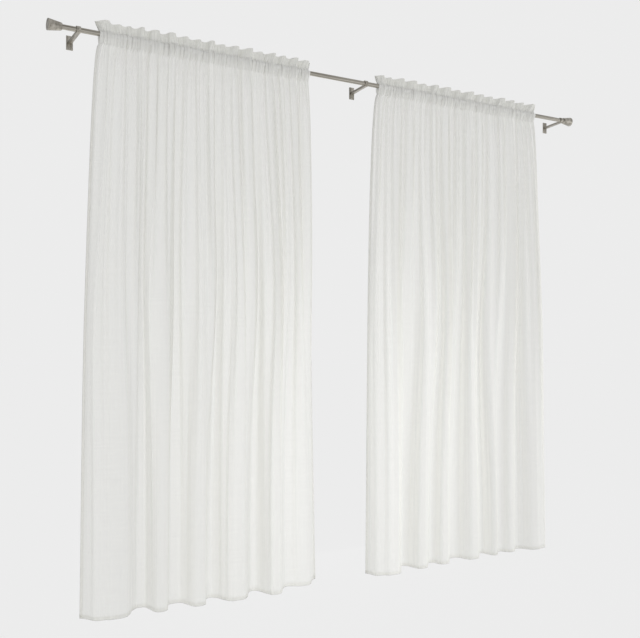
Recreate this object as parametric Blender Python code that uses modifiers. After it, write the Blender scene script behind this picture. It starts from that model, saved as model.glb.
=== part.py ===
"""Two sheer voile panels, each with a frill and a rod pocket, gathered on one rod with three wall brackets.

+X runs along the rod, to the right as seen from the room. -Y points from the wall into the room.
The origin is the middle of the middle wall plate's back face. Metres, +Z up.
"""

from collections import namedtuple
from functools import lru_cache
from math import cos, pi, radians, sin

import bmesh
import bpy
import numpy as np
from mathutils import Matrix, Vector

NAME = "Voile_curtains_on_rod"
SEAT_GAP = 0.0003

# Rod, finials and brackets
ROD_RADIUS = 0.0095
ROD_OUT = 0.115
ROD_RISE = 0.017
ROD_SIDES = 24
NECK_LEFT = -1.356
NECK_RIGHT = 1.2445
SOCKET_DEPTH = 0.012
SOCKET_CLEARANCE = 0.0004
FINIAL_LENGTH = 0.053
FINIAL_NECK_RADIUS = 0.0112
FINIAL_SHOULDER_RADIUS = 0.0150
FINIAL_SHOULDER_LENGTH = 0.007
FINIAL_END_RADIUS = 0.0220
FINIAL_END_EDGE = 0.0008
SHOULDER_STEPS = 4
BRACKET_PLACES = {"left": -1.296, "middle": 0.0, "right": 1.232}
PLATE_WIDTH = 0.026
PLATE_HEIGHT = 0.055
PLATE_THICKNESS = 0.004
PLATE_EDGE = 0.0012
ARM_WIDTH = 0.016
ARM_HEIGHT = 0.0095
ARM_EDGE = 0.0015
ARM_CLIMB = 0.009
ARM_PAST_ROD = 0.002
RING_WALL = 0.0035
RING_CLEARANCE = 0.0004
EDGE_SEGMENTS = 2

# Cloth
CLOTH_THICKNESS = 0.0012
CLOTH_WIDTH = 1.50
DROP = 2.25
FRILL_TOP = 0.050
POCKET_FOOT = 0.035
POCKET_TOP = ROD_RADIUS + 0.0020
LAYER_SPACING = 0.0026
POCKET_ROOM = 0.0119
POCKET_SHOULDER = 0.0095
POCKET_BELLY_DROP = 0.005
FRILL_SPREAD = 0.014
COLUMNS_PER_GATHER = 6
FINE_STEPS = 2400

# How far down the panel each row lies, and the share of the cloth's slack that its folds take there. Fine
# gathers, too small for these solids, hold the rest.
Row = namedtuple("Row", "below_rod slack_in_folds")
HANGING_ROWS = (
    Row(0.085, 0.28),
    Row(0.19, 0.55),
    Row(0.38, 0.80),
    Row(0.68, 0.94),
    Row(1.05, 1.0),
    Row(1.45, 1.0),
    Row(1.85, 1.0),
    Row(DROP - FRILL_TOP, 1.0),
)
SLACK_AT_STITCHES = 0.10
SLACK_AT_FRILL = 0.72

# One row for each crest and valley of the folds at the hem, left to right: the middle of its flat along the
# rod, how wide that is, and how far it stands out from the rod towards the room. The three are for cloth
# of any width: hem_line makes the folds shallower or deeper until they take up CLOTH_WIDTH.
Bend = namedtuple("Bend", "at flat out")
# One row for each gather in the frill: its share of the cloth's width and how boldly it swings.
Gather = namedtuple("Gather", "share swing")
# A side of a panel: its place along the rod at the pocket, at the frill's corner and at the hem, how far
# out it lies at the hem, and the power by which it leaves the plumb line.
Side = namedtuple("Side", "pocket_at frill_at hem_at hem_out flare")
Panel = namedtuple("Panel", "name left right bends gathers")

LEFT_PANEL = Panel(
    name="curtain_left",
    left=Side(-1.216, -1.216 - FRILL_SPREAD, -1.282, -0.036, 0.45),
    right=Side(-0.294, -0.289, -0.228, -0.068, 0.6),
    bends=(
        Bend(-1.222, 0.020, 0.046),
        Bend(-1.160, 0.040, 0.060),
        Bend(-1.036, 0.024, -0.050),
        Bend(-0.990, 0.030, 0.062),
        Bend(-0.902, 0.040, -0.032),
        Bend(-0.834, 0.032, 0.069),
        Bend(-0.752, 0.010, -0.034),
        Bend(-0.668, 0.046, 0.078),
        Bend(-0.552, 0.010, -0.032),
        Bend(-0.498, 0.022, 0.088),
        Bend(-0.398, 0.010, -0.012),
        Bend(-0.325, 0.030, 0.020),
    ),
    gathers=(
        Gather(1.25, 0.90),
        Gather(0.62, 0.75),
        Gather(0.66, 0.80),
        Gather(1.05, 1.15),
        Gather(1.15, 1.00),
        Gather(1.30, 1.10),
        Gather(1.00, 0.85),
        Gather(0.84, 0.80),
        Gather(1.16, 1.15),
        Gather(0.78, 0.75),
        Gather(1.10, 1.00),
        Gather(1.24, 1.10),
        Gather(0.80, 0.80),
        Gather(1.12, 1.05),
        Gather(0.92, 0.90),
        Gather(1.05, 1.10),
        Gather(0.96, 0.85),
    ),
)
RIGHT_PANEL = Panel(
    name="curtain_right",
    left=Side(0.066, 0.066 - FRILL_SPREAD, 0.012, -0.038, 0.4),
    right=Side(1.042, 1.046, 1.106, -0.010, 0.9),
    bends=(
        Bend(0.055, 0.020, 0.030),
        Bend(0.125, 0.050, 0.052),
        Bend(0.236, 0.012, -0.044),
        Bend(0.290, 0.030, 0.056),
        Bend(0.388, 0.012, -0.018),
        Bend(0.426, 0.030, 0.042),
        Bend(0.540, 0.030, -0.040),
        Bend(0.612, 0.036, 0.042),
        Bend(0.724, 0.010, -0.046),
        Bend(0.752, 0.020, 0.032),
        Bend(0.824, 0.012, -0.022),
        Bend(0.870, 0.024, 0.022),
        Bend(0.940, 0.012, -0.024),
        Bend(1.016, 0.030, 0.048),
        Bend(1.070, 0.020, 0.040),
    ),
    gathers=(
        Gather(0.82, 0.95),
        Gather(0.60, 0.75),
        Gather(1.05, 1.10),
        Gather(1.14, 1.00),
        Gather(0.80, 0.80),
        Gather(1.08, 1.15),
        Gather(1.20, 1.00),
        Gather(0.90, 0.85),
        Gather(1.22, 1.10),
        Gather(1.00, 0.90),
        Gather(0.84, 0.85),
        Gather(1.16, 1.10),
        Gather(1.06, 0.95),
        Gather(0.88, 0.85),
        Gather(1.10, 1.05),
    ),
)
PANELS = (LEFT_PANEL, RIGHT_PANEL)


def clear_scene():
    for obj in list(bpy.data.objects):
        bpy.data.objects.remove(obj, do_unlink=True)


def make_collection(name):
    collection = bpy.data.collections.new(name)
    bpy.context.scene.collection.children.link(collection)
    return collection


def make_material(name, colour, roughness, metallic=0.0, alpha=1.0):
    material = bpy.data.materials.new(name)
    material.use_nodes = True
    shader = material.node_tree.nodes["Principled BSDF"]
    shader.inputs["Base Color"].default_value = (*colour, 1.0)
    shader.inputs["Roughness"].default_value = roughness
    shader.inputs["Metallic"].default_value = metallic
    shader.inputs["Alpha"].default_value = alpha
    return material


def add_object(name, mesh, collection, material=None, parent=None):
    obj = bpy.data.objects.new(name, mesh)
    collection.objects.link(obj)
    if material:
        obj.data.materials.append(material)
    obj.parent = parent
    return obj


def box_mesh(name, size):
    shape = bmesh.new()
    bmesh.ops.create_cube(shape, size=1.0)
    bmesh.ops.scale(shape, vec=Vector(size), verts=shape.verts)
    mesh = bpy.data.meshes.new(name)
    shape.to_mesh(mesh)
    shape.free()
    return mesh


def cylinder_mesh(name, radius, length, along):
    shape = bmesh.new()
    bmesh.ops.create_cone(
        shape, cap_ends=True, segments=ROD_SIDES, radius1=radius, radius2=radius, depth=length
    )
    turn = Vector((0, 0, 1)).rotation_difference(Vector(along)).to_matrix()
    bmesh.ops.rotate(shape, verts=shape.verts, cent=(0, 0, 0), matrix=turn)
    mesh = bpy.data.meshes.new(name)
    shape.to_mesh(mesh)
    shape.free()
    return mesh


def round_edges(obj, width):
    bevel = obj.modifiers.new("Rounded edges", "BEVEL")
    bevel.width = width
    bevel.segments = EDGE_SEGMENTS
    bevel.limit_method = "ANGLE"


def combine(obj, other, operation):
    boolean = obj.modifiers.new(other.name, "BOOLEAN")
    boolean.object = other
    boolean.operation = operation
    boolean.solver = "EXACT"
    other.hide_render = True
    other.display_type = "WIRE"


def build_rod(collection, nickel, axis):
    """The rod, whose two ends sit in the finials' sockets."""
    left = NECK_LEFT - SOCKET_DEPTH + SEAT_GAP
    right = NECK_RIGHT + SOCKET_DEPTH - SEAT_GAP
    mesh = cylinder_mesh("rod", ROD_RADIUS, right - left, (1, 0, 0))
    mesh.shade_smooth()
    mesh.set_sharp_from_angle(angle=radians(40))
    rod = add_object("rod", mesh, collection, nickel, axis)
    rod.location.x = (left + right) / 2


def finial_profile():
    """(radius, height) of a finial from the middle of its large end to the floor of its socket."""
    rise = FINIAL_SHOULDER_RADIUS - FINIAL_NECK_RADIUS
    points = [
        (0, FINIAL_LENGTH),
        (FINIAL_END_RADIUS - FINIAL_END_EDGE, FINIAL_LENGTH),
        (FINIAL_END_RADIUS, FINIAL_LENGTH - FINIAL_END_EDGE),
    ]
    for step in range(SHOULDER_STEPS + 1):
        angle = pi / 2 * step / SHOULDER_STEPS
        radius = FINIAL_NECK_RADIUS + rise * cos(angle)
        points.append((radius, FINIAL_SHOULDER_LENGTH * (1 - sin(angle))))
    socket = ROD_RADIUS + SOCKET_CLEARANCE
    return points + [(socket, 0), (socket, SOCKET_DEPTH), (0, SOCKET_DEPTH)]


def build_finial(name, collection, nickel, axis, neck, side):
    """One turned end cap: side is -1 at the rod's left end and 1 at its right end."""
    profile = finial_profile()
    mesh = bpy.data.meshes.new(name)
    edges = [(index, index + 1) for index in range(len(profile) - 1)]
    mesh.from_pydata([(radius, 0, height) for radius, height in profile], edges, [])
    finial = add_object(name, mesh, collection, nickel, axis)
    screw = finial.modifiers.new("Turned", "SCREW")
    screw.steps = screw.render_steps = ROD_SIDES
    screw.use_merge_vertices = True
    screw.merge_threshold = 0.00001
    screw.use_smooth_shade = True
    finial.location.x = neck
    finial.rotation_euler.y = side * pi / 2


def build_bracket(side, place, collection, cutters, nickel, axis):
    """A wall plate, and a flat bar that climbs a little to the ring that the rod runs through."""
    plate_mesh = box_mesh("plate", (PLATE_WIDTH, PLATE_THICKNESS, PLATE_HEIGHT))
    plate = add_object(f"bracket_{side}_plate", plate_mesh, collection, nickel)
    plate.location = (place, -PLATE_THICKNESS / 2, 0)
    round_edges(plate, PLATE_EDGE)

    start = PLATE_THICKNESS + SEAT_GAP
    end = ROD_OUT + ARM_PAST_ROD
    arm_mesh = box_mesh("arm", (ARM_WIDTH, end - start, ARM_HEIGHT))
    for vertex in arm_mesh.vertices:
        if vertex.co.y < 0:
            vertex.co.z += ARM_CLIMB
    arm = add_object(f"bracket_{side}_arm", arm_mesh, collection, nickel)
    arm.location = (place, -(start + end) / 2, 0)
    round_edges(arm, ARM_EDGE)

    bore_radius = ROD_RADIUS + RING_CLEARANCE
    ring_mesh = cylinder_mesh("ring", bore_radius + RING_WALL, ARM_WIDTH, (1, 0, 0))
    ring = add_object(f"ring_{side}", ring_mesh, cutters, parent=axis)
    ring.location.x = place
    bore_mesh = cylinder_mesh("bore", bore_radius, 2 * ARM_WIDTH, (1, 0, 0))
    bore = add_object(f"bore_{side}", bore_mesh, cutters, parent=axis)
    bore.location.x = place
    combine(arm, ring, "UNION")
    combine(arm, bore, "DIFFERENCE")


def hem_line(panel, depth):
    """Places along the rod and distances out at the hem, with the table's folds made depth times as deep."""
    marks = [(panel.left.hem_at, panel.left.hem_out)]
    for bend in panel.bends:
        marks.append((bend.at - bend.flat / 2, bend.out))
        marks.append((bend.at + bend.flat / 2, bend.out))
    marks.append((panel.right.hem_at, panel.right.hem_out))
    at, out = np.array(marks).T
    fine_at = np.linspace(at[0], at[-1], FINE_STEPS)
    index = np.clip(np.searchsorted(at, fine_at) - 1, 0, len(at) - 2)
    along = (fine_at - at[index]) / (at[index + 1] - at[index])
    blend = (1 - np.cos(pi * along)) / 2
    return fine_at, depth * (out[index] + (out[index + 1] - out[index]) * blend)


def lengths_along(at, out):
    return np.concatenate([[0], np.cumsum(np.hypot(np.diff(at), np.diff(out)))])


def solve(rising, target, low, high):
    """The value at which the function rising reaches the target."""
    for _ in range(50):
        middle = (low + high) / 2
        if rising(middle) < target:
            low = middle
        else:
            high = middle
    return (low + high) / 2


@lru_cache
def turning_of_folds(panel):
    """How far the cloth turns from the rod's line, all across its width, in the folds at the hem."""
    depth = solve(lambda d: lengths_along(*hem_line(panel, d))[-1], CLOTH_WIDTH, 0.3, 2.0)
    at, out = hem_line(panel, depth)
    length = lengths_along(at, out)
    across = (np.arange(FINE_STEPS) + 0.5) / FINE_STEPS
    angle = np.arctan2(np.diff(out), np.diff(at))
    middles = (length[1:] + length[:-1]) / 2 / length[-1]
    return np.interp(across, middles, angle), np.interp(across, length / length[-1], out)


def gather_edges(panel):
    shares = np.array([gather.share for gather in panel.gathers])
    return np.concatenate([[0], np.cumsum(shares)]) / shares.sum()


def turning_of_gathers(panel):
    """The same for the gathers of the frill, of which each leaves the rod's line and comes back to it."""
    edges = gather_edges(panel)
    swings = np.array([gather.swing for gather in panel.gathers])
    across = (np.arange(FINE_STEPS) + 0.5) / FINE_STEPS
    index = np.clip(np.searchsorted(edges, across) - 1, 0, len(swings) - 1)
    along = (across - edges[index]) / (edges[index + 1] - edges[index])
    return swings[index] * np.sin(2 * pi * along)


def side_place(side, fallen):
    return side.pocket_at + (side.hem_at - side.pocket_at) * fallen**side.flare


def section(panel, fallen, slack_in_folds, ends):
    """The cloth's path at one height, as places along the rod and distances out from it.

    Fallen is 0 at the rod and 1 at the hem. The folds swing as far as they must for the cloth's width to
    fit between the panel's sides, after what fine gathers take up.
    """
    folds, hem_out = turning_of_folds(panel)
    share = fallen * fallen * (3 - 2 * fallen)
    turning = share * folds + (1 - share) * turning_of_gathers(panel)
    fit = (ends[1] - ends[0]) / CLOTH_WIDTH
    gathered = fit + (1 - fit) * slack_in_folds
    swing = solve(lambda s: -np.cos(s * turning).mean(), -fit / gathered, 0.0, 1.9)
    step = CLOTH_WIDTH * gathered / FINE_STEPS
    at = ends[0] + step * np.concatenate([[0], np.cumsum(np.cos(swing * turning))])
    out = step * np.concatenate([[0], np.cumsum(np.sin(swing * turning))])
    across = np.linspace(0, 1, FINE_STEPS + 1)
    out = out - out[-1] * across
    hem_out = np.interp(across, (np.arange(FINE_STEPS) + 0.5) / FINE_STEPS, hem_out)
    hem_slant = hem_out[0] + (hem_out[-1] - hem_out[0]) * across
    return at, out - out.mean() + share * (hem_slant + (hem_out - hem_slant).mean())


def columns(panel):
    """Shares of the cloth's width at which its columns of points stand: a few for each gather."""
    edges = gather_edges(panel)
    inside = np.arange(COLUMNS_PER_GATHER) / COLUMNS_PER_GATHER
    return np.append((edges[:-1, None] + np.diff(edges)[:, None] * inside).ravel(), 1.0)


def sampled(path, shares):
    across = np.linspace(0, 1, FINE_STEPS + 1)
    return np.column_stack([np.interp(shares, across, path[0]), np.interp(shares, across, path[1])])


def spread_layers(path):
    """A path's front and back copies, half of LAYER_SPACING to each side of it."""
    tangent = np.gradient(path, axis=0)
    tangent /= np.linalg.norm(tangent, axis=1)[:, None]
    aside = np.column_stack([-tangent[:, 1], tangent[:, 0]]) * LAYER_SPACING / 2
    return path + aside, path - aside


def pushed_out(path, room):
    """The path moved so that its nearest point lies room away from the rod's axis."""
    return path + [0, room - path[:, 1].min()] if room > 0 else path + [0, room - path[:, 1].max()]


def row_points(path, height):
    return [Vector((at, -ROD_OUT - out, ROD_RISE + height)) for at, out in path]


def panel_rows(panel):
    """Rows of points from the hem up the front, over the frill's top edge and down the pocket's back."""
    shares = columns(panel)
    rows = []
    for row in reversed(HANGING_ROWS):
        fallen = row.below_rod / (DROP - FRILL_TOP)
        ends = side_place(panel.left, fallen), side_place(panel.right, fallen)
        path = sampled(section(panel, fallen, row.slack_in_folds, ends), shares)
        rows.append(row_points(path, -row.below_rod))

    pocket_ends = panel.left.pocket_at, panel.right.pocket_at
    frill_ends = panel.left.frill_at, panel.right.frill_at
    stitched = sampled(section(panel, 0, SLACK_AT_STITCHES, pocket_ends), shares)
    frill = sampled(section(panel, 0, SLACK_AT_FRILL, frill_ends), shares)
    stitched_layers = spread_layers(stitched)
    frill_layers = spread_layers(frill)
    belly = -POCKET_BELLY_DROP
    heading = []
    for layer, side in ((0, 1), (1, -1)):
        pocket = (
            row_points(stitched_layers[layer], -POCKET_FOOT),
            row_points(pushed_out(stitched, side * POCKET_ROOM), belly),
            row_points(pushed_out(stitched, side * POCKET_SHOULDER), POCKET_SHOULDER),
            row_points(stitched_layers[layer], POCKET_TOP),
            row_points(frill_layers[layer], FRILL_TOP),
        )
        heading.append(pocket)
    return rows + list(heading[0]) + list(reversed(heading[1]))


def build_curtain(panel, collection, voile):
    """One panel: a sheet lofted through its rows, which differ in shape, and given its thickness.

    Both layers of the frill are cut into triangles along the same slant, so that they stay apart.
    """
    rows = panel_rows(panel)
    shape = bmesh.new()
    lines = [[shape.verts.new(point) for point in row] for row in rows]
    for line, next_line in zip(lines, lines[1:]):
        climbing = next_line[0].co.z > line[0].co.z
        for index in range(len(line) - 1):
            near, far = line[index : index + 2]
            next_near, next_far = next_line[index : index + 2]
            if climbing:
                shape.faces.new((near, far, next_far))
                shape.faces.new((near, next_far, next_near))
            else:
                shape.faces.new((near, far, next_near))
                shape.faces.new((far, next_far, next_near))
    mesh = bpy.data.meshes.new(panel.name)
    shape.to_mesh(mesh)
    shape.free()
    mesh.shade_smooth()
    curtain = add_object(panel.name, mesh, collection, voile)
    thickness = curtain.modifiers.new("Cloth thickness", "SOLIDIFY")
    thickness.thickness = CLOTH_THICKNESS
    thickness.offset = 0
    thickness.use_even_offset = True


def main():
    clear_scene()
    collection = make_collection(NAME)
    cutters = make_collection("Cutters")
    nickel = make_material("Brushed nickel", (0.56, 0.53, 0.47), 0.38, metallic=1.0)
    voile = make_material("Off-white voile", (0.90, 0.90, 0.87), 0.9, alpha=0.55)
    axis = bpy.data.objects.new("rod_axis", None)
    axis.matrix_world = Matrix.Translation((0, -ROD_OUT, ROD_RISE))
    collection.objects.link(axis)
    build_rod(collection, nickel, axis)
    build_finial("finial_left", collection, nickel, axis, NECK_LEFT, -1)
    build_finial("finial_right", collection, nickel, axis, NECK_RIGHT, 1)
    for side, place in BRACKET_PLACES.items():
        build_bracket(side, place, collection, cutters, nickel, axis)
    for panel in PANELS:
        build_curtain(panel, collection, voile)


main()
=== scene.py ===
"""Two sheer voile panels gathered on one brushed nickel rod with three wall brackets.

+X runs along the rod, to the right as seen from the room. -Y points from the wall plates into the room.
The origin is the middle of the middle wall plate's back face. Metres, +Z up.
"""

from collections import namedtuple
from functools import lru_cache
from math import cos, pi, radians, sin

import bmesh
import bpy
import numpy as np
from mathutils import Matrix, Vector


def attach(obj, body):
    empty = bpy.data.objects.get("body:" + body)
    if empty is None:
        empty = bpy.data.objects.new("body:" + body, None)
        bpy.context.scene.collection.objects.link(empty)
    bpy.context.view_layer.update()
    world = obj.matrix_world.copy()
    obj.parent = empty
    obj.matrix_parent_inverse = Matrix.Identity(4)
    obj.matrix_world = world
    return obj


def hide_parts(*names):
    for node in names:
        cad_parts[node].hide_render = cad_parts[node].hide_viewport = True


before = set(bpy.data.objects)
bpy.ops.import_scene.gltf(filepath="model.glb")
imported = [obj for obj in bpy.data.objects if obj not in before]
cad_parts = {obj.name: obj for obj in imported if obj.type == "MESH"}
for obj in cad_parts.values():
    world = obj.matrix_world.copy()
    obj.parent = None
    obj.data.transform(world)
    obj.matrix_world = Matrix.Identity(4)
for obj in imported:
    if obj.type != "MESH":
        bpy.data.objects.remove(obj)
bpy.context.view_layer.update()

# Rod, finials and brackets
ROD_RADIUS = 0.0095
ROD_OUT = 0.115
ROD_RISE = 0.017
ROD_END_EDGE = 0.0003
NECK_LEFT = -1.356
NECK_RIGHT = 1.2445
SOCKET_DEPTH = 0.012
SEAT_GAP = 0.0003
FINIAL_LENGTH = 0.053
FINIAL_NECK_RADIUS = 0.0112
FINIAL_SHOULDER_RADIUS = 0.0150
FINIAL_SHOULDER_LENGTH = 0.007
FINIAL_END_RADIUS = 0.0220
FINIAL_END_EDGE = 0.0008
FINIAL_END_STEPS = 3
FINIAL_SHOULDER_STEPS = 10
FINIAL_SOCKET_RADIUS = 0.0099
TURNED_SIDES = 64
BRACKET_PLACES = {"left": -1.296, "middle": 0.0, "right": 1.232}
PLATE_WIDTH = 0.026
PLATE_HEIGHT = 0.055
PLATE_THICKNESS = 0.004
PLATE_EDGE = 0.0012
ARM_WIDTH = 0.016
ARM_HEIGHT = 0.0095
ARM_EDGE = 0.0015
ARM_CLIMB = 0.009
ARM_PAST_ROD = 0.002
RING_WALL = 0.0035
RING_CLEARANCE = 0.0004
RING_EDGE = PLATE_EDGE / 2
EDGE_SEGMENTS = 4
# The angles, in degrees, past which an edge of the metal looks sharp
SHARP_ON_TURNED = 32
SHARP_ON_BRACKET = 30

# Cloth, as it is cut and hung
CLOTH_WIDTH = 1.62
DROP = 2.25
FRILL_TOP = 0.050
BELOW_ROD = DROP - FRILL_TOP
POCKET_TOP = 0.0135
POCKET_FOOT = 0.035
HEM_DEPTH = 0.014
TURNING_DEPTH = 0.0006

# How far the two layers of the pocket and the frill lie from their middle, and how the rod holds them off
SEAM_SPACING = 0.0010
FRILL_SPACING = 0.0012
FRILL_CLOSING = 0.6
POCKET_BULGE = 0.0080
POCKET_ROUNDNESS = 0.7
CLOTH_OFF_ROD = 0.0010
ROD_ROOM = ROD_RADIUS + CLOTH_OFF_ROD
ROD_PRESS = 0.0012
SLOPE_OFF_ROD = 0.8

# The cloth's grid
COLUMNS = 576
FINE_STEPS = 3000
HEM_STEPS = 4
SIDE_HEM_COLUMNS = 4

# The bounds that a hanging shape is searched within, and how softly its bends and its drift are rounded
SEARCH_STEPS = 40
FOLD_DEPTHS = (0.3, 2.0)
MOST_SWING = 1.9
MOST_RUFFLE = 2.4
BEND_REACH = 0.022
DRIFT_REACH = 0.06

# The tucks under the pocket and the pleats they run out into: their pitch, how uneven they are, and how far
# below the pocket they last.
TUCK_PITCH = 0.022
PLEAT_PITCH = 0.042
FINE_WIDTHS = (0.6, 1.5)
FINE_SWINGS = (0.45, 1.35)
TUCKS_REACH = 0.13
TUCKS_LOST_IN_FRILL = 0.85
PLEATS_REACH = 0.5
PLEATS_AT_HEM = 0.30

# The share of the tucks and pleats that is crushed too small to see
CRUSHED_AT_SEAMS = 0.5
CRUSHED_AT_FRILL = 0.95
CRUSHED_REACH = 0.7

# How many layers the gathered pocket looks like, how its gathers part, and how much denser the cloth looks
# where it slants away.
POCKET_LAYERS = 3.0
LAYERS_REACH = 0.045
THIN_PITCH = 0.022
THIN_SHARE = 0.60
THIN_WIDTHS = (0.6, 1.4)
THIN_DEPTHS = (0.3, 1.0)
STEEP_COVER = 0.5
STEEPEST_FACING = 0.2

# The slack that the cloth's folds take at each level below the rod. Fine tucks and pleats take the rest.
SLACK_LEVELS = (0.035, 0.085, 0.19, 0.38, 0.68, 1.05, 1.45, 2.0, 2.2)
SLACK_SHARES = (0.04, 0.16, 0.36, 0.64, 0.85, 0.93, 0.95, 0.972, 0.990)
SLACK_AT_SEAMS = 0.04
SLACK_AT_FRILL = 0.58

# Rows of the hanging cloth: from one level below the rod to another, and how far apart the rows are.
Band = namedtuple("Band", "start end spacing")
BANDS = (
    Band(0.035, 0.115, 0.008),
    Band(0.115, 0.40, 0.0125),
    Band(0.40, 1.00, 0.020),
    Band(1.00, BELOW_ROD - HEM_DEPTH, 0.0265),
)
POCKET_HEIGHTS = (-0.035, -0.030, -0.024, -0.018, -0.012, -0.006, 0.0, 0.004, 0.0075, 0.0098, 0.0135)
FRILL_STEPS = 7

# Sizes of the stitches
STITCH_PITCH = 0.0034
STITCH_LENGTH = 0.0026
THREAD = 0.00035
STITCH_LIFT = 0.0003
STITCH_SCALES = (0.86, 1.12)
THREAD_SIDES = 4

# One row for each crest and valley of the folds at the hem, left to right: the middle of its flat along the
# rod, how wide that is, and how far it stands out from the rod towards the room, before hem_line makes all
# the folds shallower or deeper until they take up the cloth's width.
Bend = namedtuple("Bend", "at flat out")
# One row for each gather in the frill: its share of the cloth's width and how boldly it swings.
Gather = namedtuple("Gather", "share swing")
# A side of a panel: its place along the rod at the pocket, at the frill's corner and at the hem, how far
# out it lies at the hem, and the power by which it leaves the plumb line.
Side = namedtuple("Side", "pocket_at frill_at hem_at hem_out flare")
Panel = namedtuple("Panel", "name node left right bends gathers seed")

LEFT_PANEL = Panel(
    name="voile_left",
    node="curtain_left",
    left=Side(-1.216, -1.229, -1.282, -0.036, 0.45),
    right=Side(-0.294, -0.281, -0.228, -0.068, 0.6),
    bends=(
        Bend(-1.222, 0.020, 0.046),
        Bend(-1.160, 0.040, 0.060),
        Bend(-1.036, 0.024, -0.050),
        Bend(-0.990, 0.030, 0.062),
        Bend(-0.902, 0.040, -0.032),
        Bend(-0.834, 0.032, 0.069),
        Bend(-0.752, 0.010, -0.034),
        Bend(-0.668, 0.046, 0.078),
        Bend(-0.552, 0.010, -0.032),
        Bend(-0.498, 0.022, 0.088),
        Bend(-0.398, 0.010, -0.012),
        Bend(-0.325, 0.030, 0.020),
    ),
    gathers=(
        Gather(1.25, 0.90),
        Gather(0.62, 0.75),
        Gather(0.66, 0.80),
        Gather(1.05, 1.15),
        Gather(1.15, 1.00),
        Gather(1.30, 1.10),
        Gather(1.00, 0.85),
        Gather(0.84, 0.80),
        Gather(1.16, 1.15),
        Gather(0.78, 0.75),
        Gather(1.10, 1.00),
        Gather(1.24, 1.10),
        Gather(0.80, 0.80),
        Gather(1.12, 1.05),
        Gather(0.92, 0.90),
        Gather(1.05, 1.10),
        Gather(0.96, 0.85),
    ),
    seed=11,
)
RIGHT_PANEL = Panel(
    name="voile_right",
    node="curtain_right",
    left=Side(0.066, 0.062, 0.010, -0.018, 0.4),
    right=Side(1.043, 1.058, 1.113, 0.005, 0.55),
    bends=(
        Bend(0.042, 0.020, 0.054),
        Bend(0.106, 0.050, 0.078),
        Bend(0.236, 0.012, -0.044),
        Bend(0.290, 0.030, 0.056),
        Bend(0.388, 0.012, -0.018),
        Bend(0.426, 0.030, 0.042),
        Bend(0.540, 0.030, -0.040),
        Bend(0.612, 0.036, 0.042),
        Bend(0.724, 0.010, -0.046),
        Bend(0.752, 0.020, 0.032),
        Bend(0.824, 0.012, -0.022),
        Bend(0.870, 0.024, 0.022),
        Bend(0.940, 0.012, -0.024),
        Bend(1.016, 0.030, 0.048),
        Bend(1.070, 0.020, 0.040),
    ),
    gathers=(
        Gather(0.82, 0.95),
        Gather(0.60, 0.75),
        Gather(1.05, 1.10),
        Gather(1.14, 1.00),
        Gather(0.80, 0.80),
        Gather(1.08, 1.15),
        Gather(1.20, 1.00),
        Gather(0.90, 0.85),
        Gather(1.22, 1.10),
        Gather(1.00, 0.90),
        Gather(0.84, 0.85),
        Gather(1.16, 1.10),
        Gather(1.06, 0.95),
        Gather(0.88, 0.85),
        Gather(1.10, 1.05),
    ),
    seed=23,
)

# Voile: its threads' pitch, how much one layer covers, and how it whitens where layers crowd, partly as
# stacked cloth reflects more and partly as painted light
VOILE_PITCH = 0.00048
LAYER_COVER = 0.62
WEAVE_COVER = 0.05
LEAST_COVER = 0.05
MOST_COVER = 0.95
THROUGH_SHARE = 0.42
STACKED_AND_PAINTED_LIGHT_PER_LAYER = 0.4
MOST_STACKED_AND_PAINTED_LIGHT = 0.8

# Colours of the finishes
VOILE_DULL = (0.80, 0.80, 0.765)
VOILE_BRIGHT = (0.90, 0.90, 0.865)
# The colour of cloth where layers crowd: partly the reflectance of stacked cloth, partly painted light on
# dense gathers
VOILE_STACKED_AND_PAINTED_LIGHT = (0.97, 0.97, 0.945)
THREAD_DULL = (0.70, 0.70, 0.67)
THREAD_BRIGHT = (0.86, 0.86, 0.83)
NICKEL_DULL = (0.19, 0.175, 0.145)
NICKEL_BRIGHT = (0.60, 0.57, 0.51)

# A Mix node's sockets for colours, which come after those for numbers and vectors
MIX_FIRST = 6
MIX_SECOND = 7
MIX_RESULT = 2

# Light and camera
BACKDROP_TONE = 0.84
ROOM_ABOVE = 0.82
ROOM_LEVEL = 0.65
ROOM_SIDEWAYS = 0.17
ROOM_LOW = -0.1
ROOM_HIGH = 0.9
FLOOR_BELOW_HEM = 0.12
FLOOR_RADIUS = 60.0
FLOOR_SIDES = 96
FLOOR_GLOW = 0.8264
FLOOR_PAINT = 0.02
CAMERA_LENS = 50.0
CAMERA_SHIFT = 0.0434
CAMERA_PLACE = (-2.262, -3.402, ROD_RISE - 1.179)
CAMERA_TURN = -31.6
Softbox = namedtuple("Softbox", "name place aim size power")
SOFTBOXES = (
    Softbox("key softbox", (4.4, -1.0, -0.6), (0, -0.1, -1.2), (2.0, 2.0), 26),
    Softbox("softbox behind the cloth", (0.0, 0.8, -1.6), (0, -0.1, -1.6), (1.5, 1.4), 10.5),
)


# Small helpers


def add_piece(name, mesh, *materials):
    piece = bpy.data.objects.new(name, mesh)
    bpy.context.scene.collection.objects.link(piece)
    for material in materials:
        mesh.materials.append(material)
    return piece


def plain_mesh(piece):
    """Works the piece's modifiers into its mesh."""
    graph = bpy.context.evaluated_depsgraph_get()
    mesh = bpy.data.meshes.new_from_object(piece.evaluated_get(graph), depsgraph=graph)
    mesh.name = piece.name
    piece.modifiers.clear()
    piece.data = mesh


def solve(rising, target, low, high):
    """The value at which the function rising reaches the target."""
    for _ in range(SEARCH_STEPS):
        middle = (low + high) / 2
        if rising(middle) < target:
            low = middle
        else:
            high = middle
    return (low + high) / 2


# How the cloth hangs


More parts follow.
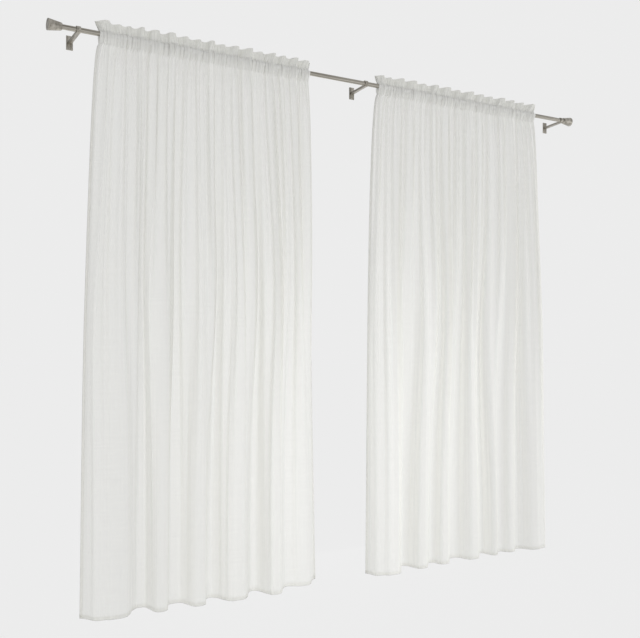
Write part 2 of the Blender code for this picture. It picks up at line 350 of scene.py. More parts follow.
def hem_line(panel, depth):
    """Places along the rod and distances out at the hem, with the folds made depth times as deep."""
    marks = [(panel.left.hem_at, panel.left.hem_out)]
    for bend in panel.bends:
        marks.append((bend.at - bend.flat / 2, bend.out))
        marks.append((bend.at + bend.flat / 2, bend.out))
    marks.append((panel.right.hem_at, panel.right.hem_out))
    at, out = np.array(marks).T
    fine_at = np.linspace(at[0], at[-1], FINE_STEPS)
    index = np.clip(np.searchsorted(at, fine_at) - 1, 0, len(at) - 2)
    along = (fine_at - at[index]) / (at[index + 1] - at[index])
    blend = (1 - np.cos(pi * along)) / 2
    return fine_at, depth * (out[index] + (out[index + 1] - out[index]) * blend)


def smoothed(lines, reach):
    """Rows of values across the cloth, each averaged softly over this much of its width either way."""
    span = round(reach / CLOTH_WIDTH * FINE_STEPS)
    padded = np.pad(lines, ((0, 0), (span, span)), mode="edge")
    weights = np.hanning(2 * span + 1) / np.hanning(2 * span + 1).sum()
    return np.array([np.convolve(line, weights, mode="valid") for line in padded])


def lengths_along(at, out):
    return np.concatenate([[0], np.cumsum(np.hypot(np.diff(at), np.diff(out)))])


def steps_across():
    return (np.arange(FINE_STEPS) + 0.5) / FINE_STEPS


@lru_cache
def turning_of_folds(panel):
    """How far the cloth turns from the rod's line, all across its width, in the folds at the hem."""
    depth = solve(lambda d: lengths_along(*hem_line(panel, d))[-1], CLOTH_WIDTH, *FOLD_DEPTHS)
    at, out = hem_line(panel, depth)
    length = lengths_along(at, out)
    angle = np.arctan2(np.diff(out), np.diff(at))
    middles = (length[1:] + length[:-1]) / 2 / length[-1]
    turning = smoothed(np.interp(steps_across(), middles, angle)[None], BEND_REACH)[0]
    return turning, np.interp(steps_across(), length / length[-1], out)


def waves(widths, swings):
    """Turning in a row of waves, each of which leaves the rod's line and comes back to it."""
    edges = np.concatenate([[0], np.cumsum(widths)]) / np.sum(widths)
    across = steps_across()
    index = np.clip(np.searchsorted(edges, across) - 1, 0, len(swings) - 1)
    along = (across - edges[index]) / (edges[index + 1] - edges[index])
    return np.asarray(swings)[index] * np.sin(2 * pi * along)


@lru_cache
def turning_of_gathers(panel):
    """How far the cloth turns from the rod's line, all across its width, in the frill's gathers."""
    shares = [gather.share for gather in panel.gathers]
    swings = [gather.swing for gather in panel.gathers]
    return waves(shares, swings)


@lru_cache
def fine_turnings(panel):
    """Turning in the tucks that the pocket makes in the cloth, and in the pleats they run out into."""
    rng = np.random.default_rng(panel.seed)
    found = []
    for pitch in (TUCK_PITCH, PLEAT_PITCH):
        count = round(CLOTH_WIDTH / pitch)
        found.append(waves(rng.uniform(*FINE_WIDTHS, count), rng.uniform(*FINE_SWINGS, count)))
    return found


@lru_cache
def thin_places(panel):
    """The share of the pocket's layers that shows across the cloth: less wherever its gathers part."""
    rng = np.random.default_rng(panel.seed + 1)
    count = round(CLOTH_WIDTH / THIN_PITCH)
    parts = waves(rng.uniform(*THIN_WIDTHS, count), rng.uniform(*THIN_DEPTHS, count))
    return 1 - THIN_SHARE * np.clip(parts, 0, 1)


def slack_in_folds(below_rod):
    """The share of the cloth's slack that its folds take at a level below the rod."""
    return np.interp(below_rod, SLACK_LEVELS, np.sqrt(SLACK_SHARES)) ** 2


def side_place(side, fallen):
    """Where a side is along the rod, from 0 at the pocket's foot to 1 at the hem."""
    return side.pocket_at + (side.hem_at - side.pocket_at) * fallen**side.flare


def frill_place(side, risen):
    """Where a side is along the rod, from 0 at the pocket's top to 1 at the frill's top."""
    return side.pocket_at + (side.frill_at - side.pocket_at) * risen


def path_along(turning, ends):
    """Places along the rod and distances out of cloth that turns like this between its ends."""
    step = CLOTH_WIDTH / FINE_STEPS
    at = step * np.concatenate([[0], np.cumsum(np.cos(turning))])
    out = step * np.concatenate([[0], np.cumsum(np.sin(turning))])
    out = out - out[-1] * np.linspace(0, 1, FINE_STEPS + 1)
    return np.array([ends[0] + at * (ends[1] - ends[0]) / at[-1], out])


def cloth_path(panel, fallen, slack, ends, tucks_share, pleats_share, layers, crushed=0.0):
    """The cloth's path at one height: places along the rod, distances out, and how many layers it looks.

    Fallen is 0 at the rod and 1 at the hem. The folds take the slack's share of what the cloth is wider
    than its place. Tucks and pleats take the rest, except a share that is crushed too small to see.
    """
    folds, hem_out = turning_of_folds(panel)
    share = fallen * fallen * (3 - 2 * fallen)
    turning = share * folds + (1 - share) * turning_of_gathers(panel)
    fit = (ends[1] - ends[0]) / CLOTH_WIDTH
    gathered = fit + (1 - fit) * slack
    swing = solve(lambda s: -np.cos(s * turning).mean(), -fit / gathered, 0.0, MOST_SWING)
    tucks, pleats = fine_turnings(panel)
    fine = tucks_share * tucks + pleats_share * pleats
    narrowed = gathered + (1 - gathered) * crushed
    ruffle = solve(lambda r: -np.cos(r * fine).mean(), -narrowed, 0.0, MOST_RUFFLE)
    main_path = path_along(swing * turning, ends)
    turning = swing * turning + ruffle * fine
    path = path_along(turning, ends)
    at, out = path - smoothed(path - main_path, DRIFT_REACH)
    across = np.linspace(0, 1, FINE_STEPS + 1)
    hem_out = np.interp(across, steps_across(), hem_out)
    hem_slant = hem_out[0] + (hem_out[-1] - hem_out[0]) * across
    out = out - main_path[1].mean() + share * (hem_slant + (hem_out - hem_slant).mean())
    shares = np.linspace(0, 1, COLUMNS + 1)
    facing = np.clip(np.interp(shares, steps_across(), np.cos(turning)), STEEPEST_FACING, 1)
    thinned = np.interp(shares, steps_across(), thin_places(panel))
    layers = np.maximum(layers * thinned, 1) if layers > 1 else np.ones(COLUMNS + 1)
    return np.interp(shares, across, at), np.interp(shares, across, out), layers / facing**STEEP_COVER


def pressed_out(out, bound):
    """Distances out, kept beyond a bound by bending softly on to it."""
    return bound + ROD_PRESS * np.logaddexp(0, (out - bound) / ROD_PRESS)


def rod_bound(height):
    """How far out the rod holds the cloth at a height from its axis, and a slope inwards past the rod."""
    if abs(height) < ROD_ROOM:
        return (ROD_ROOM**2 - height**2) ** 0.5
    return -SLOPE_OFF_ROD * (abs(height) - ROD_ROOM)


def hanging_levels():
    """Levels below the rod from the hem up, the hem's own first."""
    levels = list(BELOW_ROD - np.linspace(0, HEM_DEPTH, HEM_STEPS + 1)[:-1])
    for band in reversed(BANDS):
        count = round((band.end - band.start) / band.spacing)
        levels += list(np.linspace(band.end, band.start, count + 1)[:-1])
    return levels


def panel_rows(panel):
    """Rows of (place along the rod, distance out, height, layers of cloth) from the hem up the front, over
    the frill's top edge and down the back to the pocket's foot, and which rows the seams are."""
    rows = []
    for below_rod in hanging_levels():
        fallen = below_rod / BELOW_ROD
        below_seam = below_rod - POCKET_FOOT
        dropped = below_seam / (BELOW_ROD - POCKET_FOOT)
        ends = [side_place(side, dropped) for side in (panel.left, panel.right)]
        tucks_share = np.exp(-below_seam / TUCKS_REACH)
        pleats_share = PLEATS_AT_HEM + (1 - PLEATS_AT_HEM) * np.exp(-below_seam / PLEATS_REACH)
        slack = slack_in_folds(below_rod)
        looks = 1 + (POCKET_LAYERS - 1) * np.exp(-below_seam / LAYERS_REACH)
        crushed = CRUSHED_AT_SEAMS * np.exp(-below_seam / CRUSHED_REACH)
        at, out, layers = cloth_path(panel, fallen, slack, ends, tucks_share, pleats_share, looks, crushed)
        rows.append((at, out, -below_rod, layers))

    ends = panel.left.pocket_at, panel.right.pocket_at
    at, out, layers = cloth_path(panel, 0, SLACK_AT_SEAMS, ends, 1.0, 1.0, POCKET_LAYERS, CRUSHED_AT_SEAMS)
    front, back = [], []
    for height in POCKET_HEIGHTS:
        risen = (height + POCKET_FOOT) / (POCKET_TOP + POCKET_FOOT)
        apart = SEAM_SPACING + POCKET_BULGE * sin(pi * risen) ** POCKET_ROUNDNESS
        front_out, back_out = out + apart, out - apart
        if abs(height) < POCKET_TOP:
            front_out = pressed_out(front_out, rod_bound(height))
            back_out = -pressed_out(-back_out, rod_bound(height))
        front.append((at, front_out, height, layers))
        back.append((at, back_out, height, layers))

    for step in range(1, FRILL_STEPS + 1):
        risen = step / FRILL_STEPS
        height = POCKET_TOP + (FRILL_TOP - POCKET_TOP) * risen
        slack = (SLACK_AT_SEAMS**0.5 * (1 - risen) + SLACK_AT_FRILL**0.5 * risen) ** 2
        ends = [frill_place(side, risen) for side in (panel.left, panel.right)]
        tucks_share = 1 - TUCKS_LOST_IN_FRILL * risen
        looks = POCKET_LAYERS + (1 - POCKET_LAYERS) * risen**0.5
        crushed = CRUSHED_AT_SEAMS + (CRUSHED_AT_FRILL - CRUSHED_AT_SEAMS) * risen
        at, out, layers = cloth_path(panel, 0, slack, ends, tucks_share, 1.0, looks, crushed)
        apart = SEAM_SPACING * (1 - FRILL_CLOSING * risen) + FRILL_SPACING * sin(pi * risen)
        front.append((at, out + apart, height, layers))
        back.append((at, out - apart, height, layers))
    top = [(at, out, FRILL_TOP + SEAM_SPACING / 2, layers)]
    seams = {
        "pocket_foot_front": len(rows),
        "pocket_top_front": len(rows) + len(POCKET_HEIGHTS) - 1,
        "pocket_top_back": len(rows) + len(front) + 1 + FRILL_STEPS,
        "pocket_foot_back": len(rows) + 2 * len(front),
    }
    return rows + front + top + back[::-1], seams


def unit(vectors):
    return vectors / np.maximum(np.linalg.norm(vectors, axis=-1, keepdims=True), 1e-9)


def row_points(at, out, height):
    return np.column_stack([at, -ROD_OUT - out, np.full(len(at), ROD_RISE + height)])


def panel_grid(panel):
    """Points, outward normals and layers of the cloth's own face, as rows by columns."""
    rows, seams = panel_rows(panel)
    points = np.array([row_points(at, out, height) for at, out, height, layers in rows])
    normals = unit(np.cross(np.gradient(points, axis=1), np.gradient(points, axis=0)))
    layers = np.array([layers for at, out, height, layers in rows])
    return points, normals, layers, seams


def with_turnings(points, normals, layers):
    """The grid with its hem and sides turned to the back, as rows and columns that run back again."""
    row_count, column_count = layers.shape
    last = column_count - 1
    rows = [(row, 1) for row in range(HEM_STEPS, 0, -1)] + [(row, 0) for row in range(row_count)]
    sides = range(SIDE_HEM_COLUMNS, 0, -1)
    columns = [(column, 1) for column in sides] + [(column, 0) for column in range(column_count)]
    columns += [(last - column, 1) for column in reversed(sides)]
    row_of, row_depth = np.array(rows).T
    column_of, column_depth = np.array(columns).T
    depth = TURNING_DEPTH * (row_depth[:, None] + column_depth[None, :])
    taken = np.ix_(row_of, column_of)
    return points[taken] - normals[taken] * depth[..., None], layers[taken]


def lengths_up(points):
    """How far along the cloth each row lies, measured up its middle column."""
    middle = points[:, points.shape[1] // 2]
    return np.concatenate([[0], np.cumsum(np.linalg.norm(np.diff(middle, axis=0), axis=1))])


def cloth_mesh(name, points, layers):
    row_count, column_count = layers.shape
    mesh = bpy.data.meshes.new(name)
    corner = np.arange(row_count * column_count).reshape(row_count, column_count)
    faces = np.stack([corner[:-1, :-1], corner[:-1, 1:], corner[1:, 1:], corner[1:, :-1]], axis=-1)
    mesh.from_pydata(points.reshape(-1, 3).tolist(), [], faces.reshape(-1, 4).tolist())
    attribute = mesh.attributes.new("layers", "FLOAT", "POINT")
    attribute.data.foreach_set("value", layers.ravel().astype(np.float32))
    across = np.linspace(0, CLOTH_WIDTH, column_count)
    along = lengths_up(points)
    cloth_map = mesh.uv_layers.new(name="Cloth")
    loops = np.zeros(len(mesh.loops), np.int32)
    mesh.loops.foreach_get("vertex_index", loops)
    places = np.column_stack([across[loops % column_count], along[loops // column_count]])
    cloth_map.data.foreach_set("uv", places.ravel().astype(np.float32))
    mesh.shade_smooth()
    return mesh


# Stitches


def stitch_tree(thread):
    """Geometry Nodes that sew a running stitch along every line of a mesh of edges."""
    tree = bpy.data.node_groups.new("Running stitch", "GeometryNodeTree")
    face = tree.interface
    face.new_socket("Geometry", in_out="INPUT", socket_type="NodeSocketGeometry")
    sizes = (("Pitch", STITCH_PITCH), ("Stitch length", STITCH_LENGTH), ("Thread", THREAD))
    for label, value in sizes:
        socket = face.new_socket(label, in_out="INPUT", socket_type="NodeSocketFloat")
        socket.default_value = value
    seed = face.new_socket("Seed", in_out="INPUT", socket_type="NodeSocketInt")
    seed.default_value = 5
    face.new_socket("Geometry", in_out="OUTPUT", socket_type="NodeSocketGeometry")

    nodes, link = tree.nodes, tree.links.new
    given = nodes.new("NodeGroupInput")
    made = nodes.new("NodeGroupOutput")
    line = nodes.new("GeometryNodeMeshToCurve")
    places = nodes.new("GeometryNodeCurveToPoints")
    places.mode = "LENGTH"
    half = nodes.new("ShaderNodeMath")
    half.operation = "MULTIPLY"
    half.inputs[1].default_value = 0.5
    stitch = nodes.new("GeometryNodeMeshCylinder")
    stitch.inputs["Vertices"].default_value = THREAD_SIDES
    uneven = nodes.new("FunctionNodeRandomValue")
    uneven.data_type = "FLOAT"
    uneven.inputs[2].default_value, uneven.inputs[3].default_value = STITCH_SCALES
    sewn = nodes.new("GeometryNodeInstanceOnPoints")
    real = nodes.new("GeometryNodeRealizeInstances")
    paint = nodes.new("GeometryNodeSetMaterial")
    paint.inputs["Material"].default_value = thread
    link(given.outputs["Geometry"], line.inputs["Mesh"])
    link(line.outputs["Curve"], places.inputs["Curve"])
    link(given.outputs["Pitch"], places.inputs["Length"])
    link(given.outputs["Thread"], half.inputs[0])
    link(half.outputs["Value"], stitch.inputs["Radius"])
    link(given.outputs["Stitch length"], stitch.inputs["Depth"])
    link(given.outputs["Seed"], uneven.inputs["Seed"])
    link(places.outputs["Points"], sewn.inputs["Points"])
    link(places.outputs["Rotation"], sewn.inputs["Rotation"])
    link(stitch.outputs["Mesh"], sewn.inputs["Instance"])
    link(uneven.outputs[1], sewn.inputs["Scale"])
    link(sewn.outputs["Instances"], real.inputs["Geometry"])
    link(real.outputs["Geometry"], paint.inputs["Geometry"])
    link(paint.outputs["Geometry"], made.inputs["Geometry"])
    return tree


def sew(name, lines, tree, thread, seed):
    """One piece of stitches along these lines of points."""
    shape = bmesh.new()
    for line in lines:
        corners = [shape.verts.new(point) for point in line]
        for start, end in zip(corners, corners[1:]):
            shape.edges.new((start, end))
    mesh = bpy.data.meshes.new(name)
    shape.to_mesh(mesh)
    shape.free()
    stitches = add_piece(name, mesh)
    sewing = stitches.modifiers.new("Running stitch", "NODES")
    sewing.node_group = tree
    sockets = tree.interface.items_tree
    given = {socket.name: socket.identifier for socket in sockets if socket.in_out == "INPUT"}
    sewing[given["Seed"]] = seed
    plain_mesh(stitches)
    stitches.data.shade_smooth()
    return stitches


def seam_lines(points, normals, seams):
    """The lines that are sewn: the pocket's two seams, front and back, the hem and the two side hems."""
    lifted = points + normals * STITCH_LIFT
    under = points - normals * (STITCH_LIFT + TURNING_DEPTH)
    foot = seams["pocket_foot_front"]
    side = SIDE_HEM_COLUMNS
    lines = [lifted[row] for row in seams.values()]
    lines += [lifted[HEM_STEPS], under[HEM_STEPS]]
    for column in (side, -1 - side):
        lines += [lifted[:foot, column], under[:foot, column]]
    return lines


# Metal


def turned_mesh(name, profile):
    """A shape turned about Z from (radius, height) pairs that start and end on the axis."""
    shape = bmesh.new()
    rings = []
    for radius, height in profile:
        if radius == 0:
            rings.append([shape.verts.new((0, 0, height))])
            continue
        angles = [2 * pi * side / TURNED_SIDES for side in range(TURNED_SIDES)]
        rings.append([shape.verts.new((radius * cos(a), radius * sin(a), height)) for a in angles])
    for ring, next_ring in zip(rings, rings[1:]):
        for side in range(TURNED_SIDES):
            after = (side + 1) % TURNED_SIDES
            corners = [ring[side % len(ring)], ring[after % len(ring)]]
            corners += [next_ring[after % len(next_ring)], next_ring[side % len(next_ring)]]
            shape.faces.new(list(dict.fromkeys(corners)))
    bmesh.ops.recalc_face_normals(shape, faces=shape.faces)
    mesh = bpy.data.meshes.new(name)
    shape.to_mesh(mesh)
    shape.free()
    mesh.shade_smooth()
    mesh.set_sharp_from_angle(angle=radians(SHARP_ON_TURNED))
    return mesh


def rod_profile():
    """(radius, height) of the rod about its own axis, with its cut ends' edges broken."""
    left = NECK_LEFT - SOCKET_DEPTH + SEAT_GAP
    right = NECK_RIGHT + SOCKET_DEPTH - SEAT_GAP
    return [
        (0, left),
        (ROD_RADIUS - ROD_END_EDGE, left),
        (ROD_RADIUS, left + ROD_END_EDGE),
        (ROD_RADIUS, right - ROD_END_EDGE),
        (ROD_RADIUS - ROD_END_EDGE, right),
        (0, right),
    ]


def finial_profile():
    """(radius, height) of a finial from the middle of its large end to the floor of its socket."""
    rise = FINIAL_SHOULDER_RADIUS - FINIAL_NECK_RADIUS
    points = [(0, FINIAL_LENGTH)]
    for step in range(FINIAL_END_STEPS + 1):
        angle = pi / 2 * step / FINIAL_END_STEPS
        radius = FINIAL_END_RADIUS - FINIAL_END_EDGE * (1 - sin(angle))
        points.append((radius, FINIAL_LENGTH - FINIAL_END_EDGE * (1 - cos(angle))))
    for step in range(FINIAL_SHOULDER_STEPS + 1):
        angle = pi / 2 * step / FINIAL_SHOULDER_STEPS
        radius = FINIAL_NECK_RADIUS + rise * cos(angle)
        points.append((radius, FINIAL_SHOULDER_LENGTH * (1 - sin(angle))))
    socket = [(FINIAL_SOCKET_RADIUS, 0), (FINIAL_SOCKET_RADIUS, SOCKET_DEPTH), (0, SOCKET_DEPTH)]
    return points + socket


def laid_on_rod(mesh, place, turn):
    """Lays a mesh turned about Z on the rod's axis, from a place along it."""
    lie = Matrix.Rotation(turn, 4, "Y")
    mesh.transform(Matrix.Translation((place, -ROD_OUT, ROD_RISE)) @ lie)
    return mesh


def bar_mesh(name, size, place, climb=0.0):
    """A box of metal whose room end stands higher by climb."""
    shape = bmesh.new()
    bmesh.ops.create_cube(shape, size=1.0)
    bmesh.ops.scale(shape, vec=Vector(size), verts=shape.verts)
    for corner in shape.verts:
        if corner.co.y < 0:
            corner.co.z += climb
    bmesh.ops.translate(shape, vec=Vector(place), verts=shape.verts)
    mesh = bpy.data.meshes.new(name)
    shape.to_mesh(mesh)
    shape.free()
    return mesh


def round_edges(piece, width):
    bevel = piece.modifiers.new("Rounded edges", "BEVEL")
    bevel.width = width
    bevel.segments = EDGE_SEGMENTS
    bevel.limit_method = "ANGLE"
    bevel.harden_normals = False


def cylinder_mesh(name, radius, length, place):
    half = length / 2
    profile = [(0, -half), (radius, -half), (radius, half), (0, half)]
    return laid_on_rod(turned_mesh(name, profile), place, pi / 2)


def make_bracket(side, place, plate_finish, bar_finish):
    """A wall plate, and the flat bar with the ring that the rod runs through."""
    name = f"wall_plate_{side}"
    size = (PLATE_WIDTH, PLATE_THICKNESS, PLATE_HEIGHT)
    plate = add_piece(name, bar_mesh(name, size, (place, -PLATE_THICKNESS / 2, 0)), plate_finish)
    round_edges(plate, PLATE_EDGE)
    plain_mesh(plate)

    start = PLATE_THICKNESS + SEAT_GAP
    end = ROD_OUT + ARM_PAST_ROD
    name = f"rod_arm_{side}"
    size = (ARM_WIDTH, end - start, ARM_HEIGHT)
    middle = (place, -(start + end) / 2, 0)
    arm = add_piece(name, bar_mesh(name, size, middle, ARM_CLIMB), bar_finish)
    round_edges(arm, ARM_EDGE)
    bore_radius = ROD_RADIUS + RING_CLEARANCE
    ring_mesh = cylinder_mesh("ring", bore_radius + RING_WALL, ARM_WIDTH, place)
    ring = add_piece("ring", ring_mesh, bar_finish)
    round_edges(ring, RING_EDGE)
    bore_mesh = cylinder_mesh("bore", bore_radius, 2 * ARM_WIDTH, place)
    bore = add_piece("bore", bore_mesh, bar_finish)
    for other, operation in ((ring, "UNION"), (bore, "DIFFERENCE")):
        joined = arm.modifiers.new(other.name, "BOOLEAN")
        joined.object = other
        joined.operation = operation
        joined.solver = "EXACT"
    plain_mesh(arm)
    for helper in (ring, bore):
        bpy.data.objects.remove(helper)
    for piece in (plate, arm):
        piece.data.shade_smooth()
        piece.data.set_sharp_from_angle(angle=radians(SHARP_ON_BRACKET))
    return plate, arm


# Materials


class Finish:
    """A new material with short ways to add its nodes."""

    def __init__(self, name):
        self.material = bpy.data.materials.new(name)
        self.material.use_nodes = True
        self.nodes = self.material.node_tree.nodes
        self.shader = self.nodes["Principled BSDF"]
        self.surface = self.nodes["Material Output"].inputs["Surface"]

    def link(self, source, target):
        self.material.node_tree.links.new(source, target)

    def add(self, kind, settings=None, **inputs):
        node = self.nodes.new(kind)
        for key, value in (settings or {}).items():
            setattr(node, key, value)
        for key, value in inputs.items():
            self.give(node.inputs[key.replace("_", " ")], value)
        return node

    def give(self, socket, value):
        if isinstance(value, bpy.types.NodeSocket):
            self.link(value, socket)
        else:
            socket.default_value = value

    def math(self, operation, first, second=0.0, third=0.0):
        node = self.nodes.new("ShaderNodeMath")
        node.operation = operation
        for socket, value in zip(node.inputs, (first, second, third)):
            self.give(socket, value)
        return node.outputs["Value"]

    def noise(self, vector, per_metre, detail=2.0, roughness=0.55):
        """Noise from 0 to 1, with this many patches to the metre along each axis."""
        spread = self.add("ShaderNodeMapping", Vector=vector, Scale=per_metre).outputs["Vector"]
        kind = "ShaderNodeTexNoise"
        noise = self.add(kind, Vector=spread, Scale=1.0, Detail=detail, Roughness=roughness)
        return noise.outputs[0]

    def between(self, amount, low, high):
        """A value that goes from low to high as amount goes from 0 to 1."""
        return self.math("MULTIPLY_ADD", amount, high - low, low)

    def colour_between(self, amount, low, high):
        """A colour that goes from low to high, each a colour or a node's output."""
        mix = self.nodes.new("ShaderNodeMix")
        mix.data_type = "RGBA"
        self.give(mix.inputs["Factor"], amount)
        for socket, colour in ((mix.inputs[MIX_FIRST], low), (mix.inputs[MIX_SECOND], high)):
            self.give(socket, (*colour, 1) if isinstance(colour, tuple) else colour)
        return mix.outputs[MIX_RESULT]

    def shader_between(self, amount, first, second):
        mix = self.nodes.new("ShaderNodeMixShader")
        self.give(mix.inputs["Fac"], amount)
        self.link(first, mix.inputs[1])
        self.link(second, mix.inputs[2])
        return mix.outputs["Shader"]

    def bump(self, height, strength, distance):
        """Raises the shader's surface by this height, and returns its bumped normal."""
        bump = self.add("ShaderNodeBump", Height=height, Strength=strength, Distance=distance)
        self.give(self.shader.inputs["Normal"], bump.outputs["Normal"])
        return bump.outputs["Normal"]


def voile_finish():
    """Off-white sheer voile: an open plain weave with slubs, denser where cloth crowds, and whitened there,
    partly as stacked cloth reflects more and partly by painted light.
    """
    finish = Finish("Off-white sheer voile")
    cloth = finish.add("ShaderNodeUVMap", {"uv_map": "Cloth"}).outputs["UV"]
    parts = finish.add("ShaderNodeSeparateXYZ", Vector=cloth)
    threads = 2 * pi / VOILE_PITCH
    warp = finish.math("SINE", finish.math("MULTIPLY", parts.outputs["X"], threads))
    weft = finish.math("SINE", finish.math("MULTIPLY", parts.outputs["Y"], threads))
    weave = finish.math("ADD", warp, weft)
    warp_slubs = finish.noise(cloth, (1300, 9, 1))
    weft_slubs = finish.noise(cloth, (11, 620, 1), detail=3.0)
    slubs = finish.math("ADD", warp_slubs, weft_slubs)
    warp_bands = finish.noise(cloth, (110, 1.2, 1))
    weft_bands = finish.noise(cloth, (2.5, 150, 1), detail=3.0)

    cover = finish.math("MULTIPLY_ADD", weave, WEAVE_COVER, LAYER_COVER)
    cover = finish.math("ADD", cover, finish.between(slubs, -0.08, 0.0))
    cover = finish.math("ADD", cover, finish.between(warp_bands, -0.02, 0.03))
    cover = finish.math("ADD", cover, finish.between(weft_bands, -0.03, 0.03))
    cover = finish.math("MINIMUM", finish.math("MAXIMUM", cover, LEAST_COVER), MOST_COVER)
    layers = finish.add("ShaderNodeAttribute", {"attribute_name": "layers"}).outputs["Fac"]
    open_share = finish.math("POWER", finish.math("SUBTRACT", 1.0, cover), layers)
    opaque_share = finish.math("SUBTRACT", 1.0, open_share)

    # Painted light in part: the colour whitens where layers crowd, standing in for light that dense gathers
    # scatter and lifting the pocket out of the rod's shade. The rest is the higher reflectance of stacked
    # cloth.
    stacked_and_painted_light = finish.math("MULTIPLY_ADD", layers, STACKED_AND_PAINTED_LIGHT_PER_LAYER, -STACKED_AND_PAINTED_LIGHT_PER_LAYER)
    stacked_and_painted_light_share = finish.math("MINIMUM", stacked_and_painted_light, MOST_STACKED_AND_PAINTED_LIGHT)
    one_layer = finish.colour_between(slubs, VOILE_DULL, VOILE_BRIGHT)
    colour = finish.colour_between(stacked_and_painted_light_share, one_layer, VOILE_STACKED_AND_PAINTED_LIGHT)
    finish.give(finish.shader.inputs["Base Color"], colour)
    finish.give(finish.shader.inputs["Roughness"], finish.between(warp_slubs, 0.62, 0.88))
    finish.shader.inputs["Specular IOR Level"].default_value = 0.25
    finish.shader.inputs["Sheen Weight"].default_value = 0.12
    finish.shader.inputs["Sheen Roughness"].default_value = 0.45
    relief = finish.math("MULTIPLY_ADD", weave, 0.5, slubs)
    normal = finish.bump(relief, strength=0.25, distance=0.00012)

    through = finish.add("ShaderNodeBsdfTranslucent", Color=colour, Normal=normal).outputs["BSDF"]
    through_share = finish.math("DIVIDE", THROUGH_SHARE, layers)
    fibres = finish.shader_between(through_share, finish.shader.outputs["BSDF"], through)
    gaps = finish.add("ShaderNodeBsdfTransparent").outputs["BSDF"]
    finish.link(finish.shader_between(opaque_share, gaps, fibres), finish.surface)
    return finish.material


def thread_finish():
    """White polyester sewing thread."""
    finish = Finish("White sewing thread")
    place = finish.add("ShaderNodeTexCoord").outputs["Object"]
    twist = finish.noise(place, (2600, 2600, 2600), detail=1.0)
    colour = finish.colour_between(twist, THREAD_DULL, THREAD_BRIGHT)
    finish.give(finish.shader.inputs["Base Color"], colour)
    finish.give(finish.shader.inputs["Roughness"], finish.between(twist, 0.5, 0.75))
    finish.bump(twist, strength=0.3, distance=0.00005)
    return finish.material


def nickel_finish(name, grain, bands):
    """Warm brushed nickel, with this many brush marks and broader streaks to the metre along each axis."""
    finish = Finish(name)
    place = finish.add("ShaderNodeTexCoord").outputs["Object"]
    marks = finish.noise(place, grain, detail=4.0, roughness=0.65)
    streaks = finish.noise(place, bands)
    handled = finish.noise(place, (28, 28, 28), detail=3.0)
    tone = finish.math("MULTIPLY_ADD", marks, 0.45, finish.math("MULTIPLY", streaks, 0.55))
    streak = finish.add("ShaderNodeMapRange", Value=tone, From_Min=0.36, From_Max=0.64).outputs["Result"]
    colour = finish.colour_between(streak, NICKEL_DULL, NICKEL_BRIGHT)
    finish.give(finish.shader.inputs["Base Color"], colour)
    finish.shader.inputs["Metallic"].default_value = 1.0
    finish.shader.inputs["Anisotropic"].default_value = 0.4
    roughness = finish.math("ADD", finish.between(marks, 0.24, 0.44), finish.between(handled, -0.05, 0.05))
    finish.give(finish.shader.inputs["Roughness"], roughness)
    finish.bump(marks, strength=0.2, distance=0.00008)
    return finish.material


# Stage


def make_floor():
    """A pale floor that glows as brightly as the backdrop, so that no horizon shows."""
    shape = bmesh.new()
    bmesh.ops.create_circle(shape, cap_ends=True, segments=FLOOR_SIDES, radius=FLOOR_RADIUS)
    level = ROD_RISE - BELOW_ROD - FLOOR_BELOW_HEM
    bmesh.ops.translate(shape, vec=(0, 0, level), verts=shape.verts)
    mesh = bpy.data.meshes.new("studio_floor")
    shape.to_mesh(mesh)
    shape.free()
    finish = Finish("Pale floor")
    paint = finish.add("ShaderNodeBsdfDiffuse", Color=(FLOOR_PAINT, FLOOR_PAINT, FLOOR_PAINT, 1))
    glow = finish.add("ShaderNodeEmission", Color=(1, 1, 1, 1), Strength=FLOOR_GLOW)
    both = finish.add("ShaderNodeAddShader")
    finish.link(paint.outputs["BSDF"], both.inputs[0])
    finish.link(glow.outputs["Emission"], both.inputs[1])
    finish.link(both.outputs["Shader"], finish.surface)
    floor = add_piece("studio_floor", mesh, finish.material)


def make_world():
    """A plain pale backdrop for the camera, with a room around it that is lighter towards the right."""
    world = bpy.data.worlds.new("Pale studio")
    bpy.context.scene.world = world
    world.use_nodes = True
    nodes, link = world.node_tree.nodes, world.node_tree.links.new
    backdrop = nodes["Background"]
    backdrop.inputs["Color"].default_value = (BACKDROP_TONE, BACKDROP_TONE, BACKDROP_TONE, 1)
    room = nodes.new("ShaderNodeBackground")
    direction = nodes.new("ShaderNodeTexCoord")
    parts = nodes.new("ShaderNodeSeparateXYZ")
    rise = nodes.new("ShaderNodeMapRange")
    rise.inputs["From Min"].default_value = ROOM_LOW
    rise.inputs["From Max"].default_value = ROOM_HIGH
    rise.inputs["To Min"].default_value = ROOM_LEVEL
    rise.inputs["To Max"].default_value = ROOM_ABOVE
    path = nodes.new("ShaderNodeLightPath")
    mix = nodes.new("ShaderNodeMixShader")
    link(direction.outputs["Generated"], parts.inputs["Vector"])
    link(parts.outputs["Z"], rise.inputs["Value"])
    sideways = nodes.new("ShaderNodeMath")
    sideways.operation = "MULTIPLY_ADD"
    sideways.inputs[1].default_value = ROOM_SIDEWAYS
    link(parts.outputs["X"], sideways.inputs[0])
    link(rise.outputs["Result"], sideways.inputs[2])
    link(sideways.outputs["Value"], room.inputs["Strength"])
    link(path.outputs["Is Camera Ray"], mix.inputs["Fac"])
    link(room.outputs["Background"], mix.inputs[1])
    link(backdrop.outputs["Background"], mix.inputs[2])
    link(mix.outputs["Shader"], nodes["World Output"].inputs["Surface"])


def add_softbox(softbox):
    data = bpy.data.lights.new(softbox.name, "AREA")
    data.shape = "RECTANGLE"
    data.size, data.size_y = softbox.size
    data.energy = softbox.power
    light = bpy.data.objects.new(softbox.name, data)
    bpy.context.scene.collection.objects.link(light)
    light.location = softbox.place
    facing = Vector(softbox.aim) - Vector(softbox.place)
    light.rotation_euler = facing.to_track_quat("-Z", "Y").to_euler()
    light.visible_camera = False


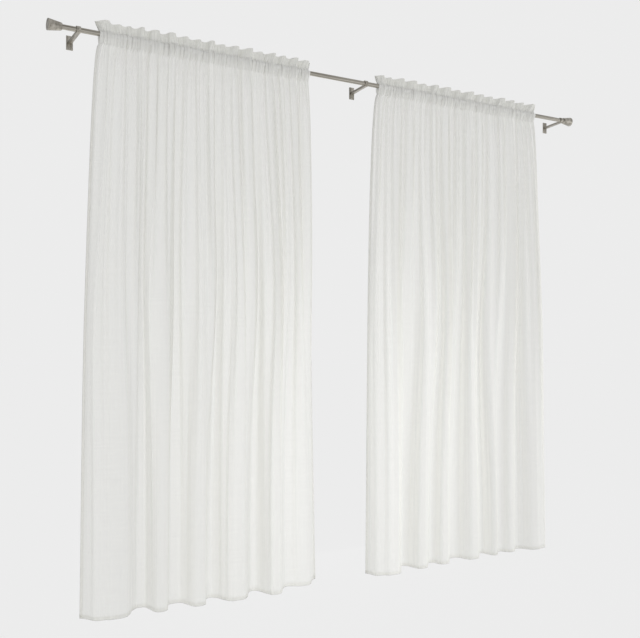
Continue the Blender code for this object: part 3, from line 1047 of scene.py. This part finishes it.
def make_camera():
    data = bpy.data.cameras.new("Camera")
    data.lens = CAMERA_LENS
    data.shift_y = CAMERA_SHIFT
    camera = bpy.data.objects.new("Camera", data)
    bpy.context.scene.collection.objects.link(camera)
    camera.location = CAMERA_PLACE
    camera.rotation_euler = (radians(90), 0, radians(CAMERA_TURN))
    bpy.context.scene.camera = camera


# Making it all


def make_panels():
    voile = voile_finish()
    thread = thread_finish()
    tree = stitch_tree(thread)
    for panel in (LEFT_PANEL, RIGHT_PANEL):
        points, normals, layers, seams = panel_grid(panel)
        mesh = cloth_mesh(panel.name, *with_turnings(points, normals, layers))
        cloth = add_piece(panel.name, mesh, voile)
        lines = seam_lines(points, normals, seams)
        stitches = sew(f"{panel.name}_stitching", lines, tree, thread, panel.seed)
        for piece in (cloth, stitches):
            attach(piece, "root")
        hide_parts(panel.node)


def make_metal():
    lengthwise = nickel_finish("Brushed nickel, along the rod", (5, 620, 620), (1.2, 260, 260))
    ringwise = nickel_finish("Brushed nickel, turned", (1100, 14, 14), (60, 40, 40))
    barwise = nickel_finish("Brushed nickel, along the bar", (520, 6, 520), (120, 4, 120))
    upright = nickel_finish("Brushed nickel, upright", (620, 400, 7), (80, 80, 9))
    tube = laid_on_rod(turned_mesh("rod_tube", rod_profile()), 0, pi / 2)
    made = {"rod": add_piece("rod_tube", tube, lengthwise)}
    for side, place, turn in (("left", NECK_LEFT, -pi / 2), ("right", NECK_RIGHT, pi / 2)):
        name = f"end_cap_{side}"
        mesh = laid_on_rod(turned_mesh(name, finial_profile()), place, turn)
        made[f"finial_{side}"] = add_piece(name, mesh, ringwise)
    for side, place in BRACKET_PLACES.items():
        plate, arm = make_bracket(side, place, upright, barwise)
        made[f"bracket_{side}_plate"] = plate
        made[f"bracket_{side}_arm"] = arm
    for node, piece in made.items():
        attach(piece, "root")
        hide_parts(node)


def main():
    bpy.context.scene.view_settings.view_transform = "Standard"
    make_camera()
    make_world()
    make_floor()
    for softbox in SOFTBOXES:
        add_softbox(softbox)
    make_panels()
    make_metal()


main()
